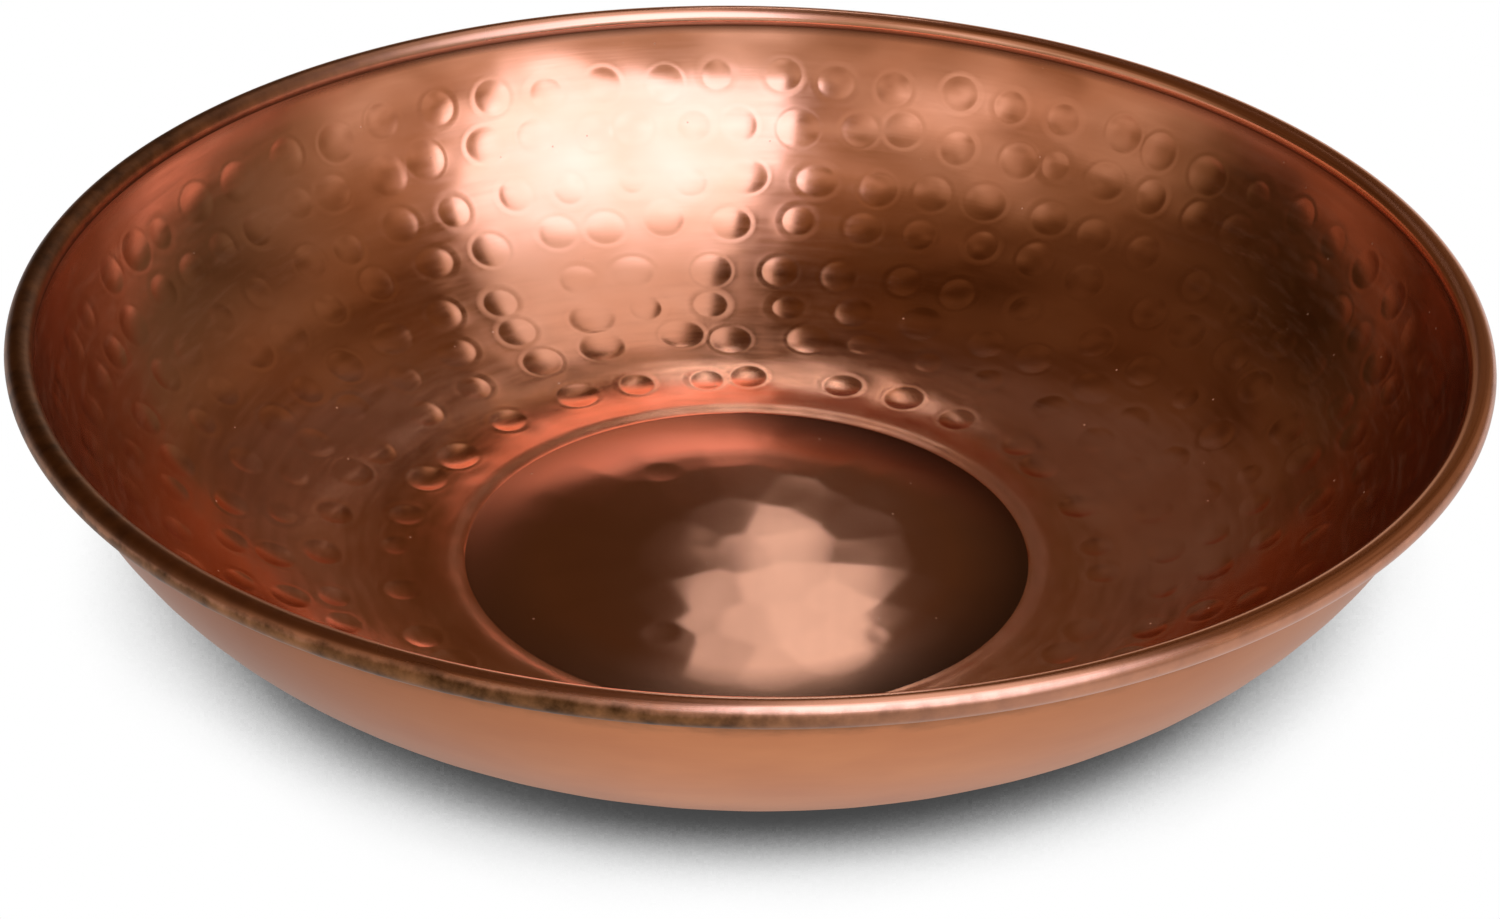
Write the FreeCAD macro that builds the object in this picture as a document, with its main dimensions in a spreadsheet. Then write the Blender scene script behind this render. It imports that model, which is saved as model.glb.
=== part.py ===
import FreeCAD, Part
import math
import os
import Sketcher

# Hammered copper bowl: one disc of copper sheet, sunk to a wide shallow dish
# with a stepped well that it stands on. The edge of the sheet is rolled
# outwards round a steel wire, which stiffens the rim.
# Frame: the origin is the middle of the resting face, +Z is the bowl's axis.
# Lengths are in millimetres, angles in degrees.

doc = FreeCAD.newDocument("HammeredCopperBowl")

# ---------------------------------------------------------------------------
# Driving dimensions
# ---------------------------------------------------------------------------
SIZES = [
    # overall
    ("overall_diameter", 400.0, "across the rolled rim"),
    ("overall_height", 83.0, "resting face to the top of the rim"),
    ("sheet", 1.2, "thickness of the copper"),
    # well
    ("well_radius", 85.5, "to the line where the wall begins"),
    ("well_depth", 0.8, "drop from that line to the floor"),
    ("well_edge_radius", 7.4, "hollow side of both bends of the step"),
    # wall, which leaves the well level and steepens in two sweeps
    ("middle_slope", 36.0, "slope where the two sweeps meet"),
    ("wall_slope", 75.0, "slope just below the rim"),
    # rolled rim
    ("wire_diameter", 4.4, "wire inside the roll"),
    ("wire_clearance", 0.3, "between the wire and the sheet round it"),
    ("wire_butt_gap", 1.0, "between the two ends of the wire"),
    ("crease_radius", 1.4, "hollow bend between the wall and the roll"),
    ("crease_angle", 20.0, "direction of the crease below the level of the wire"),
    ("edge_gap", 0.3, "between the raw edge of the roll and the crease"),
]

sizes = doc.addObject("Spreadsheet::Sheet", "Sizes")
for row, (alias, value, meaning) in enumerate(SIZES, start=1):
    sizes.set(f"A{row}", alias)
    sizes.set(f"B{row}", str(value))
    sizes.set(f"C{row}", meaning)
    sizes.setAlias(f"B{row}", alias)
doc.recompute()

# The roll of the rim, which the shell and the wire share.
ROLL_RADIUS = "(Sizes.wire_diameter / 2 + Sizes.wire_clearance)"
RING_RADIUS = f"(Sizes.overall_diameter / 2 - Sizes.sheet - {ROLL_RADIUS})"
RING_HEIGHT = f"(Sizes.overall_height - Sizes.sheet - {ROLL_RADIUS})"


# ---------------------------------------------------------------------------
# Helpers
# ---------------------------------------------------------------------------
START, END, CENTRE = 1, 2, 3  # the points of a line or an arc in a sketch
ORIGIN = (-1, 1)  # the sketch's own origin


def new_body(name):
    """A PartDesign body whose label is also its file name."""
    body = doc.addObject("PartDesign::Body", name)
    body.Label = name
    return body


def section_sketch(body, name):
    """A sketch in the plane through the axis: x is the radius, y the height."""
    sketch = body.newObject("Sketcher::SketchObject", name)
    planes = [o for o in body.Origin.OriginFeatures if o.Role == "XZ_Plane"]
    sketch.AttachmentSupport = (planes[0], [""])
    sketch.MapMode = "FlatFace"
    return sketch


def revolve(body, sketch, name):
    """Turns a section about the bowl's axis."""
    revolution = body.newObject("PartDesign::Revolution", name)
    revolution.Profile = sketch
    revolution.ReferenceAxis = (sketch, ["V_Axis"])
    revolution.Angle = 360.0
    sketch.Visibility = False
    return revolution


def constrain(sketch, kind, *operands):
    """Adds a constraint that has no size."""
    return sketch.addConstraint(Sketcher.Constraint(kind, *operands))


def dimension(sketch, name, expression, kind, *operands):
    """Adds a named dimension that follows an expression on the sheet."""
    value = float(sizes.evalExpression(expression))
    if kind == "Angle":
        value = math.radians(value)
    index = sketch.addConstraint(Sketcher.Constraint(kind, *operands, value))
    sketch.renameConstraint(index, name)
    sketch.setExpression(f"Constraints.{name}", expression)


def point(x, y):
    return FreeCAD.Vector(x, y, 0)


def polar(centre, radius, angle):
    """The point at a distance from a centre, in a direction in degrees."""
    angle = math.radians(angle)
    return centre + point(radius * math.cos(angle), radius * math.sin(angle))


def add_line(sketch, start, end):
    return sketch.addGeometry(Part.LineSegment(start, end), False)


def add_arc(sketch, centre, radius, first, last):
    """An arc, drawn counterclockwise between two directions in degrees."""
    circle = Part.Circle(centre, FreeCAD.Vector(0, 0, 1), radius)
    arc = Part.ArcOfCircle(circle, math.radians(first), math.radians(last))
    return sketch.addGeometry(arc, False)


# ---------------------------------------------------------------------------
# bowl_shell: the section of the sheet, turned about the axis
# ---------------------------------------------------------------------------
# The section is a level floor and a chain of tangent bends. Each bend is drawn
# twice about one centre, for the underside and for the inside, so the sheet
# keeps its thickness from the middle of the floor to its raw edge.
shell = new_body("bowl_shell")
section = section_sketch(shell, "sheet_section")

# A first drawing of the bends. The constraints then move them to their place.
thickness = sizes.sheet
step_reach = 2 * sizes.well_edge_radius + thickness
step_turn = math.degrees(math.acos(1 - sizes.well_depth / step_reach))
shoulder_centre = point(sizes.well_radius, sizes.well_depth - sizes.well_edge_radius)
foot_centre = polar(shoulder_centre, step_reach, 90 + step_turn)
roll_radius = sizes.wire_diameter / 2 + sizes.wire_clearance
outer_roll_radius = roll_radius + thickness
wire_centre = point(
    sizes.overall_diameter / 2 - outer_roll_radius,
    sizes.overall_height - outer_roll_radius,
)
crease_reach = sizes.crease_radius + outer_roll_radius
crease_centre = polar(wire_centre, crease_reach, 180 + sizes.crease_angle)
wall_top = polar(
    crease_centre, sizes.crease_radius + thickness, sizes.wall_slope - 90
)

# The two sweeps of the wall, whose runs and rises add up to the whole wall's.
middle = math.radians(sizes.middle_slope)
top = math.radians(sizes.wall_slope)
run = wall_top.x - sizes.well_radius
rise = wall_top.y - sizes.well_depth
lower_run, lower_rise = math.sin(middle), 1 - math.cos(middle)
upper_run, upper_rise = math.sin(top) - lower_run, math.cos(middle) - math.cos(top)
scale = lower_run * upper_rise - upper_run * lower_rise
lower_radius = (run * upper_rise - rise * upper_run) / scale
upper_radius = (rise * lower_run - run * lower_rise) / scale
lower_centre = point(sizes.well_radius, sizes.well_depth + lower_radius)
upper_centre = polar(wall_top, upper_radius, sizes.wall_slope + 90)

# Each bend: its centre, its radius on the underside, the directions between
# which it is drawn, and which way the sheet turns along it (1 up, -1 down).
BENDS = [
    ("foot", foot_centre, sizes.well_edge_radius + thickness,
     -90, step_turn - 90, 1),
    ("shoulder", shoulder_centre, sizes.well_edge_radius,
     90, 90 + step_turn, -1),
    ("lower_wall", lower_centre, lower_radius,
     -90, sizes.middle_slope - 90, 1),
    ("upper_wall", upper_centre, upper_radius,
     sizes.middle_slope - 90, sizes.wall_slope - 90, 1),
    ("crease", crease_centre, sizes.crease_radius + thickness,
     sizes.wall_slope - 90, sizes.crease_angle, 1),
    ("roll", wire_centre, roll_radius,
     -90, 180 + sizes.crease_angle, -1),
]

under_floor = add_line(section, point(0, 0), point(foot_centre.x, 0))
top_floor = add_line(section, point(0, thickness), point(foot_centre.x, thickness))
on_axis = add_line(section, point(0, 0), point(0, thickness))
under = {}
inside = {}
under_end = (under_floor, END)
inside_end = (top_floor, END)
for name, centre, radius, first, last, turn in BENDS:
    near, far = (START, END) if turn > 0 else (END, START)
    under[name] = add_arc(section, centre, radius, first, last)
    inside[name] = add_arc(section, centre, radius - turn * thickness, first, last)
    constrain(section, "Coincident", under[name], CENTRE, inside[name], CENTRE)
    constrain(section, "Tangent", *under_end, under[name], near)
    constrain(section, "Tangent", *inside_end, inside[name], near)
    under_end = (under[name], far)
    inside_end = (inside[name], far)
raw_edge = add_line(
    section,
    polar(wire_centre, roll_radius, -90),
    polar(wire_centre, outer_roll_radius, -90),
)

constrain(section, "Coincident", under_floor, START, *ORIGIN)
constrain(section, "Coincident", on_axis, START, *ORIGIN)
constrain(section, "Coincident", top_floor, START, on_axis, END)
constrain(section, "Horizontal", under_floor)
constrain(section, "Horizontal", top_floor)
constrain(section, "Vertical", on_axis)
constrain(section, "Coincident", raw_edge, START, *under_end)
constrain(section, "Coincident", raw_edge, END, *inside_end)
constrain(section, "PointOnObject", under["roll"], CENTRE, raw_edge)
dimension(section, "thickness", "Sizes.sheet",
          "DistanceY", on_axis, START, on_axis, END)

# The well, and the line where the wall leaves it level.
well_line = (under["shoulder"], START)
constrain(section, "Vertical", under["shoulder"], CENTRE, *well_line)
dimension(section, "well_radius", "Sizes.well_radius",
          "DistanceX", *ORIGIN, *well_line)
dimension(section, "well_depth", "Sizes.well_depth",
          "DistanceY", *ORIGIN, *well_line)
dimension(section, "foot_bend", "Sizes.well_edge_radius",
          "Radius", inside["foot"])
dimension(section, "shoulder_bend", "Sizes.well_edge_radius",
          "Radius", under["shoulder"])

# The wall: its slopes are set, and its radii follow from the two ends.
dimension(section, "lower_sweep", "Sizes.middle_slope",
          "Angle", under["lower_wall"])
dimension(section, "upper_sweep", "Sizes.wall_slope - Sizes.middle_slope",
          "Angle", under["upper_wall"])

# The crease and the roll.
dimension(section, "crease_turn", "90 - Sizes.wall_slope + Sizes.crease_angle",
          "Angle", under["crease"])
dimension(section, "crease_bend", "Sizes.crease_radius",
          "Radius", inside["crease"])
dimension(section, "roll_bend", ROLL_RADIUS,
          "Radius", under["roll"])
dimension(section, "ring_radius", RING_RADIUS,
          "DistanceX", *ORIGIN, under["roll"], CENTRE)
dimension(section, "ring_height", RING_HEIGHT,
          "DistanceY", *ORIGIN, under["roll"], CENTRE)
dimension(section, "edge_reach",
          "Sizes.crease_radius + Sizes.sheet + Sizes.edge_gap",
          "Distance", inside["roll"], START, inside["crease"], CENTRE)
doc.recompute()

revolve(shell, section, "spun_sheet")

# ---------------------------------------------------------------------------
# rim_wire: a round wire bent to a ring, its two ends nearly touching
# ---------------------------------------------------------------------------
wire = new_body("rim_wire")
wire_section = section_sketch(wire, "wire_section")
circle = Part.Circle(wire_centre, FreeCAD.Vector(0, 0, 1), sizes.wire_diameter / 2)
wire_circle = wire_section.addGeometry(circle, False)
dimension(wire_section, "wire_diameter", "Sizes.wire_diameter",
          "Diameter", wire_circle)
dimension(wire_section, "ring_radius", RING_RADIUS,
          "DistanceX", *ORIGIN, wire_circle, CENTRE)
dimension(wire_section, "ring_height", RING_HEIGHT,
          "DistanceY", *ORIGIN, wire_circle, CENTRE)
ring = revolve(wire, wire_section, "wire_ring")
ring.setExpression(
    "Angle", f"360 * (1 - Sizes.wire_butt_gap / (2 * pi * {RING_RADIUS}))"
)
doc.recompute()

# ---------------------------------------------------------------------------
# Check and export
# ---------------------------------------------------------------------------
for item in doc.Objects:
    if "Invalid" in item.State or "Error" in item.State:
        raise RuntimeError(f"{item.Label}: {item.State}")

os.makedirs("parts", exist_ok=True)
for body in (shell, wire):
    shape = body.Shape
    if shape.isNull() or not shape.isValid() or len(shape.Solids) != 1:
        raise RuntimeError(f"{body.Label} is not one sound solid")
    shape.exportStep(f"parts/{body.Label}.step")
    box = shape.BoundBox
    print(f"{body.Label}: {shape.Volume / 1000:.1f} cm3, "
          f"{box.XLength:.2f} x {box.YLength:.2f} x {box.ZLength:.2f} mm")
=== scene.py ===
# %% [markdown]
# # A hammered copper bowl
# A wide shallow bowl, sunk from one disc of copper sheet. It stands on a
# stepped well in its middle, its wall carries eight rows of hammer marks, and
# its edge is rolled outwards round a steel wire. This lesson starts from the
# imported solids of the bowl, which stay where they are, and dresses them.

# %% Load the solids as a fixed frame
import math

import bpy
import numpy as np
from mathutils import Matrix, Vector
from mathutils.kdtree import KDTree


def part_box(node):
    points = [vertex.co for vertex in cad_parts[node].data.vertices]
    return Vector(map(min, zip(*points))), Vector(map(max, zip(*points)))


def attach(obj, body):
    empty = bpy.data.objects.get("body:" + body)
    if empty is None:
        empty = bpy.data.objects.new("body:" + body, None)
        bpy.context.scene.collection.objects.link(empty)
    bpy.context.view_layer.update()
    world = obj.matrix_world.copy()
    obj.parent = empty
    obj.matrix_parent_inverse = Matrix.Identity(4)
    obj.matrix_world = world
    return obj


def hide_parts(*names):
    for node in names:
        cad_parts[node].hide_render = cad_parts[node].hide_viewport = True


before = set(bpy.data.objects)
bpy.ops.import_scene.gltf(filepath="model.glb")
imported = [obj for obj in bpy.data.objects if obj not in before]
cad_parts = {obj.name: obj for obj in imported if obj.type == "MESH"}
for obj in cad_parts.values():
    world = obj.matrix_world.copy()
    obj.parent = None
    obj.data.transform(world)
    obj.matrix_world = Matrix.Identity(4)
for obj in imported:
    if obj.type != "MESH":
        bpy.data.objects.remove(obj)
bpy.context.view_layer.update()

MM = 0.001
shell_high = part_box("bowl_shell")[1]

# %% [markdown]
# ## The section of the sheet
# Cut through its middle, the bowl is a level floor and a chain of bends that
# run smoothly into one another: foot and shoulder of the well's step, two
# sweeps of wall, a small crease, and the roll round the wire. A bend needs
# only a centre and a turn, so the whole section can be swept with Spin, the
# way a compass draws it. The sizes are those of the solid, except that
# hammering has softened the step of the well and the crease under the roll,
# which moves the sheet beside them by about half a millimetre.

# %% Sizes of the section, in millimetres
sheet = 1.2
overall_radius = shell_high.x / MM
overall_height = shell_high.z / MM
well_line = 85.5  # radius where the wall begins
well_depth = 0.5
step_radius = 18.0  # hollow side of both bends of the step
roll_radius = 4.4 / 2 + 0.3  # the wire, and the room round it
crease_radius = 1.4
crease_direction = 190.0  # where the roll leaves the wall, as seen from the wire
raw_edge_direction = -126.0  # where the roll ends, close to the back of the crease
lower_turn, upper_turn = 36.0, 39.0  # of the wall's two sweeps


def around(centre, radius, degrees):
    """The point at a distance from a centre, in a direction in degrees."""
    turn = math.radians(degrees)
    return (centre[0] + radius * math.cos(turn), centre[1] + radius * math.sin(turn))


step_reach = 2 * step_radius + sheet
step_turn = math.degrees(math.acos(1 - well_depth / step_reach))
shoulder_centre = (well_line, well_depth - step_radius)
foot_centre = around(shoulder_centre, step_reach, 90 + step_turn)
roll_centre = (
    overall_radius - sheet - roll_radius,
    overall_height - sheet - roll_radius,
)
crease_centre = around(roll_centre, crease_radius + sheet + roll_radius, crease_direction)

# %% [markdown]
# The radii of the wall's two sweeps follow from its whole run and rise, because
# the upper sweep starts where the lower one ends and in the same direction.

# %% The two sweeps of the wall
wall_slope = lower_turn + upper_turn
wall_foot = (well_line, well_depth)
wall_top = around(crease_centre, crease_radius + sheet, wall_slope - 90)
a, b = math.radians(lower_turn), math.radians(wall_slope)
run_and_rise = np.array(
    [
        [math.sin(a), math.sin(b) - math.sin(a)],
        [1 - math.cos(a), math.cos(a) - math.cos(b)],
    ]
)
lower_radius, upper_radius = np.linalg.solve(
    run_and_rise, [wall_top[0] - wall_foot[0], wall_top[1] - wall_foot[1]]
)
lower_centre = (well_line, well_depth + lower_radius)
upper_centre = around(wall_top, upper_radius, wall_slope + 90)
print("sweeps of the wall: radius", round(lower_radius, 2), round(upper_radius, 2))

# %% [markdown]
# Each bend is a row of this table: its centre, the direction in which it
# starts, its turn, the radius of the face that looks into the bowl and of the
# back, and how many steps each takes. The face has many steps because it
# carries the hammer marks.

# %% The bends, from the floor of the well to the raw edge
crease_turn = crease_direction - 180 - (wall_slope - 90)
roll_turn = raw_edge_direction - crease_direction
# name, centre, first direction, turn, face radius, back radius, face and back steps
bends = [
    ("foot", foot_centre, -90.0, step_turn, step_radius, step_radius + sheet, 4, 3),
    (
        "shoulder",
        shoulder_centre,
        90 + step_turn,
        -step_turn,
        step_radius + sheet,
        step_radius,
        4,
        3,
    ),
    (
        "lower wall",
        lower_centre,
        -90.0,
        lower_turn,
        lower_radius - sheet,
        lower_radius,
        34,
        8,
    ),
    (
        "upper wall",
        upper_centre,
        lower_turn - 90,
        upper_turn,
        upper_radius - sheet,
        upper_radius,
        38,
        10,
    ),
    (
        "crease",
        crease_centre,
        wall_slope - 90,
        crease_turn,
        crease_radius,
        crease_radius + sheet,
        3,
        2,
    ),
    (
        "roll",
        roll_centre,
        crease_direction,
        roll_turn,
        roll_radius + sheet,
        roll_radius,
        22,
        9,
    ),
]
around_steps = 460
same_spot = 0.02  # mm between what counts as one place
print(len(bends), "bends, with", sum(b[6] for b in bends), "steps on the face")

# %% [markdown]
# A mesh needs a first vertex. A small plane merged to its centre leaves one,
# at the edge of the well's floor. Spin then carries it round each bend in turn,
# up the face, across the raw edge and back down the underside. A last spin
# takes the finished section once round the bowl's axis.

# %% Sweep the section
bpy.ops.object.select_all(action="DESELECT")
start = around(foot_centre, step_radius, -90)
bpy.ops.mesh.primitive_plane_add(size=MM, location=(start[0] * MM, 0, start[1] * MM))
bowl = bpy.context.object
bowl.name = bowl.data.name = "hammered_bowl"
bpy.ops.object.transform_apply(location=True, rotation=True, scale=True)
bpy.ops.object.mode_set(mode="EDIT")
bpy.ops.mesh.select_all(action="SELECT")
bpy.ops.mesh.merge(type="CENTER")


def sweep(centre, degrees, steps):
    """Spins what is selected about a line through a centre of the section."""
    bpy.ops.mesh.spin(
        steps=steps,
        angle=math.radians(degrees),
        center=(centre[0] * MM, 0, centre[1] * MM),
        axis=(0, 1, 0),
    )


for name, centre, first, turn, face, back, face_steps, back_steps in bends:
    sweep(centre, turn, face_steps)
edge_direction = math.radians(bends[-1][2] + bends[-1][3])
bpy.ops.mesh.extrude_region_move(
    TRANSFORM_OT_translate={
        "value": (
            -sheet * MM * math.cos(edge_direction),
            0,
            -sheet * MM * math.sin(edge_direction),
        )
    }
)
for name, centre, first, turn, face, back, face_steps, back_steps in reversed(bends):
    sweep(centre, -turn, back_steps)
bpy.ops.mesh.select_all(action="SELECT")
bpy.ops.mesh.spin(steps=around_steps, angle=2 * math.pi, center=(0, 0, 0), axis=(0, 0, 1))
bpy.ops.mesh.select_all(action="SELECT")
bpy.ops.mesh.remove_doubles(threshold=same_spot / 2 * MM)
bpy.ops.object.mode_set(mode="OBJECT")
print("swept:", len(bowl.data.vertices), "vertices,", len(bowl.data.polygons), "faces")

# %% [markdown]
# The spin leaves two round holes, one in the floor's face and one in its
# underside. Grid Fill closes each with a net of nearly square cells, which a
# fan of thin triangles from the middle wouldn't give, and the hammered floor
# needs even cells to show its facets.

# %% Close the floor of the well
for height in (sheet, 0.0):
    bpy.ops.object.mode_set(mode="EDIT")
    bpy.ops.mesh.select_mode(type="EDGE")
    bpy.ops.mesh.select_all(action="DESELECT")
    bpy.ops.object.mode_set(mode="OBJECT")
    spots = np.array([v.co for v in bowl.data.vertices]) / MM
    ring = (np.abs(np.hypot(spots[:, 0], spots[:, 1]) - foot_centre[0]) < same_spot) & (
        np.abs(spots[:, 2] - height) < same_spot
    )
    for edge in bowl.data.edges:
        edge.select = bool(ring[edge.vertices[0]] and ring[edge.vertices[1]])
    bpy.ops.object.mode_set(mode="EDIT")
    bpy.ops.mesh.fill_grid(span=around_steps // 4, offset=0)
bpy.ops.mesh.select_mode(type="FACE")
bpy.ops.mesh.select_all(action="SELECT")
bpy.ops.mesh.normals_make_consistent(inside=False)
bpy.ops.object.mode_set(mode="OBJECT")
bpy.ops.object.shade_smooth()
print("closed:", len(bowl.data.vertices), "vertices,", len(bowl.data.polygons), "faces")

# %% [markdown]
# ## Where each spot lies on the sheet
# The marks and the finish follow the sheet and not the room, so each vertex
# learns two things: how far along the section it lies, counted in millimetres
# from the well line, and whether it is on the face or on the back.

# %% Find each vertex on the section
spots = np.array([v.co for v in bowl.data.vertices]) / MM
radius = np.hypot(spots[:, 0], spots[:, 1])
step_length = math.radians(step_turn) * (2 * step_radius + sheet)
along = radius - foot_centre[0] - step_length
on_face = spots[:, 2] > sheet / 2
nowhere = 1e9
bend_slack = 0.1  # degrees by which a vertex may miss the ends of its bend
miss = np.where(radius < foot_centre[0] + same_spot, same_spot, nowhere)
begin = -step_length
bend_starts = {}
for name, centre, first, turn, face, back, face_steps, back_steps in bends:
    bend_starts[name] = begin
    across, up = radius - centre[0], spots[:, 2] - centre[1]
    reach = np.hypot(across, up)
    turned = (np.degrees(np.arctan2(up, across)) - first) * math.copysign(1, turn)
    turned = (turned + 10) % 360 - 10  # so that just before the start isn't 359
    inside_turn = (turned > -bend_slack) & (turned < abs(turn) + bend_slack)
    length = math.radians(abs(turn)) * face
    for side, side_radius in ((True, face), (False, back)):
        off = np.where(inside_turn, np.abs(reach - side_radius), nowhere)
        better = off < miss
        miss[better] = off[better]
        along[better] = begin + turned[better] / abs(turn) * length
        on_face[better] = side
    begin += length
print("farthest from the section:", round(float(miss.max()), 4), "mm")
print("lengths along the sheet:", {k: round(v, 1) for k, v in bend_starts.items()})

# %% [markdown]
# ## The blows of the hammer
# A hammer with a round face leaves a shallow dish where it lands. On the wall
# the smith works round in rows, so the dishes stand in rings that keep their
# level but not quite their spacing. On the floor of the well the blows overlap,
# and what is left of each is a flat-looking facet with sharp edges.

# %% Rows of blows on the wall and rings on the floor
chance = np.random.default_rng(7)
wall_rows = [  # height of the row along the sheet, and its number of blows
    (124.8, 63),
    (110.2, 66),
    (93.2, 54),
    (78.1, 50),
    (60.5, 42),
    (46.9, 38),
    (32.8, 35),
    (13.6, 30),
]
floor_rings = [(56.0, 24), (38.0, 16), (19.5, 8), (1.5, 1)]  # radius, blows
single_blows = [  # on the floor: x, y, depth and width
    (-24.0, -44.0, 0.14, 2.2),
    (36.0, -41.0, 0.10, 2.4),
    (-25.0, 44.0, 0.12, 2.2),
]
wall_depth, floor_depth = (0.31, 0.06), (0.08, 0.015)  # mean and spread
wall_spacing, floor_spacing = 0.11, 0.16  # spread, as a share of the spacing
wall_level, floor_level = 0.8, 2.2  # spread across the row or ring
hammer_radius = 47.0  # of the round face that marked the wall
flat_hammer_radius = 1050.0  # of the nearly flat face used on the floor
flat_width = math.sqrt(flat_hammer_radius / hammer_radius)

# %% Where a blow on the wall lands


def wall_place(height, angle):
    """A spot on the wall's face, the way along its row and the way up its slope."""
    for name, centre, first, turn, face, back, face_steps, back_steps in bends[2:4]:
        turned = math.degrees((height - bend_starts[name]) / face)
        if turned <= turn:
            break
    r, z = around(centre, face, first + turned)
    slope = math.radians(first + turned + 90)
    c, s = math.cos(angle), math.sin(angle)
    spot = (r * c, r * s, z)
    along_row = (-s, c, 0.0)
    up_slope = (math.cos(slope) * c, math.cos(slope) * s, math.sin(slope))
    return spot, along_row, up_slope


# %% Swing the hammer
blows = []  # spot, way along, way up, depth, how much wider than the round face's print
for height, count in wall_rows:
    phase = chance.uniform(0, 2 * math.pi)
    for k in range(count):
        angle = phase + 2 * math.pi * (k + chance.normal(0, wall_spacing)) / count
        spot, along_row, up_slope = wall_place(height + chance.normal(0, wall_level), angle)
        depth = chance.normal(*wall_depth)
        oval = 1.0 + abs(chance.normal(0, 0.10))
        blows.append((spot, along_row, up_slope, depth, (oval, 1.0)))
for ring_radius, count in floor_rings:
    phase = chance.uniform(0, 2 * math.pi)
    for k in range(count):
        angle = phase + 2 * math.pi * (k + chance.normal(0, floor_spacing)) / count
        r = ring_radius + chance.normal(0, floor_level)
        spot = (r * math.cos(angle), r * math.sin(angle), sheet)
        depth = chance.normal(*floor_depth)
        blows.append((spot, (1, 0, 0), (0, 1, 0), depth, (flat_width, flat_width)))
for x, y, depth, wide in single_blows:
    blows.append(((x, y, sheet), (1, 0, 0), (0, 1, 0), depth, (wide, wide)))
blow_spot, blow_along, blow_up = (np.array([b[i] for b in blows]) for i in (0, 1, 2))
blow_depth = np.array([b[3] for b in blows])
blow_width = np.array([b[4] for b in blows])
print(len(blows), "blows of the hammer")

# %% [markdown]
# Every face remembers the three blows nearest to it, and its corners store how
# far they lie from each: across, up and the blow's depth. The material turns
# these back into dishes with crisp edges, much finer than the mesh.

# %% Tell each face about its nearest blows
tree = KDTree(len(blows))
for k, spot in enumerate(blow_spot):
    tree.insert(spot, k)
tree.balance()
mesh = bowl.data
faces = len(mesh.polygons)
middles = np.empty(faces * 3)
mesh.polygons.foreach_get("center", middles)
middles = middles.reshape(-1, 3) / MM
nearest = np.array([[n[1] for n in tree.find_n(m, 3)] for m in middles])
corner_vertex = np.empty(len(mesh.loops), int)
mesh.loops.foreach_get("vertex_index", corner_vertex)
corners_per_face = np.empty(faces, int)
mesh.polygons.foreach_get("loop_total", corners_per_face)
corner_face = np.repeat(np.arange(faces), corners_per_face)


def offsets(places, blow):
    """How far each place lies from its blow, along and up, and the blow's depth."""
    away = places - blow_spot[blow]
    across = (away * blow_along[blow]).sum(1) / blow_width[blow, 0]
    up = (away * blow_up[blow]).sum(1) / blow_width[blow, 1]
    return np.stack([across, up, blow_depth[blow]], 1)


for k in range(3):
    stored = offsets(spots[corner_vertex], nearest[corner_face, k])
    layer = mesh.attributes.new(f"blow_{k + 1}", "FLOAT_VECTOR", "CORNER")
    layer.data.foreach_set("vector", stored.astype(np.float32).ravel())
layer = mesh.attributes.new("along", "FLOAT", "POINT")
layer.data.foreach_set("value", along.astype(np.float32))
print("stored:", [a.name for a in mesh.attributes if a.name.startswith(("blow", "along"))])

# %% [markdown]
# The mesh itself takes the soft part of each blow, so the dents are also there
# in the bare shape. Their depth is painted as a weight, and a Displace modifier
# sinks the face and lifts the back by it.

# %% Sink the dents into the sheet
soft_reach = 7.5  # how far from its middle a blow pulls the sheet down
soft_share = 0.8  # of the blow's depth
floor_share = 0.5  # of the facets' depth that the mesh takes
back_share = 0.25  # of a dent's depth that shows on the outside
deepest = 1.0  # depth in mm that a full weight stands for
least = 1e-5  # a weight too small to matter

nearest_vertex = np.array([[n[1] for n in tree.find_n(s, 3)] for s in spots])
soft = np.zeros(len(spots))
facet = np.zeros(len(spots))
for k in range(3):
    across, up, depth = offsets(spots, nearest_vertex[:, k]).T
    far = across**2 + up**2
    soft += soft_share * depth * np.clip(1 - far / soft_reach**2, 0, None) ** 2
    facet = np.maximum(facet, depth - far / (2 * hammer_radius))
on_floor = along < -step_length
on_wall = (along > -step_length) & (along < bend_starts["crease"])
dent = np.where(on_floor, floor_share * facet, np.where(on_wall, soft, 0))
for side, share, name in ((True, -1.0, "sunk"), (False, back_share, "raised")):
    group = bowl.vertex_groups.new(name=name)
    weights = np.where(on_face == side, dent, 0)
    if not side:
        weights = np.where(on_wall, weights, 0)
    for k in np.nonzero(weights > least)[0]:
        group.add([int(k)], float(min(weights[k] / deepest, 1)), "REPLACE")
    push = bowl.modifiers.new(name, "DISPLACE")
    push.direction = "NORMAL"
    push.mid_level = 0.0
    push.strength = share * deepest * MM
    push.vertex_group = name
bpy.context.view_layer.objects.active = bowl
for name in ("sunk", "raised"):
    bpy.ops.object.modifier_apply(modifier=name)
print("deepest dent:", round(float(dent.max()), 3), "mm")

# %% [markdown]
# ## Copper
# Copper has no colour of its own but what it mirrors, tinted orange. Its gloss
# comes from how it was worked: the spun wall keeps fine rings, the floor was
# brushed, and the rim holds brown tarnish where a cloth doesn't reach.

# %% Helpers for materials


def srgb(code):
    """A colour written as a web code, as the linear values that shaders take."""
    parts = [int(code[i : i + 2], 16) / 255 for i in (1, 3, 5)]
    return [
        p / 12.92 if p <= 0.04045 else ((p + 0.055) / 1.055) ** 2.4 for p in parts
    ] + [1.0]


def add_node(tree, kind, inputs=None, **settings):
    """Adds a node, sets its options, and fills or links its inputs."""
    made = tree.nodes.new("ShaderNode" + kind)
    for name, value in settings.items():
        setattr(made, name, value)
    for name, value in (inputs or {}).items():
        if isinstance(value, bpy.types.NodeSocket):
            tree.links.new(value, made.inputs[name])
        else:
            made.inputs[name].default_value = value
    return made


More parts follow.
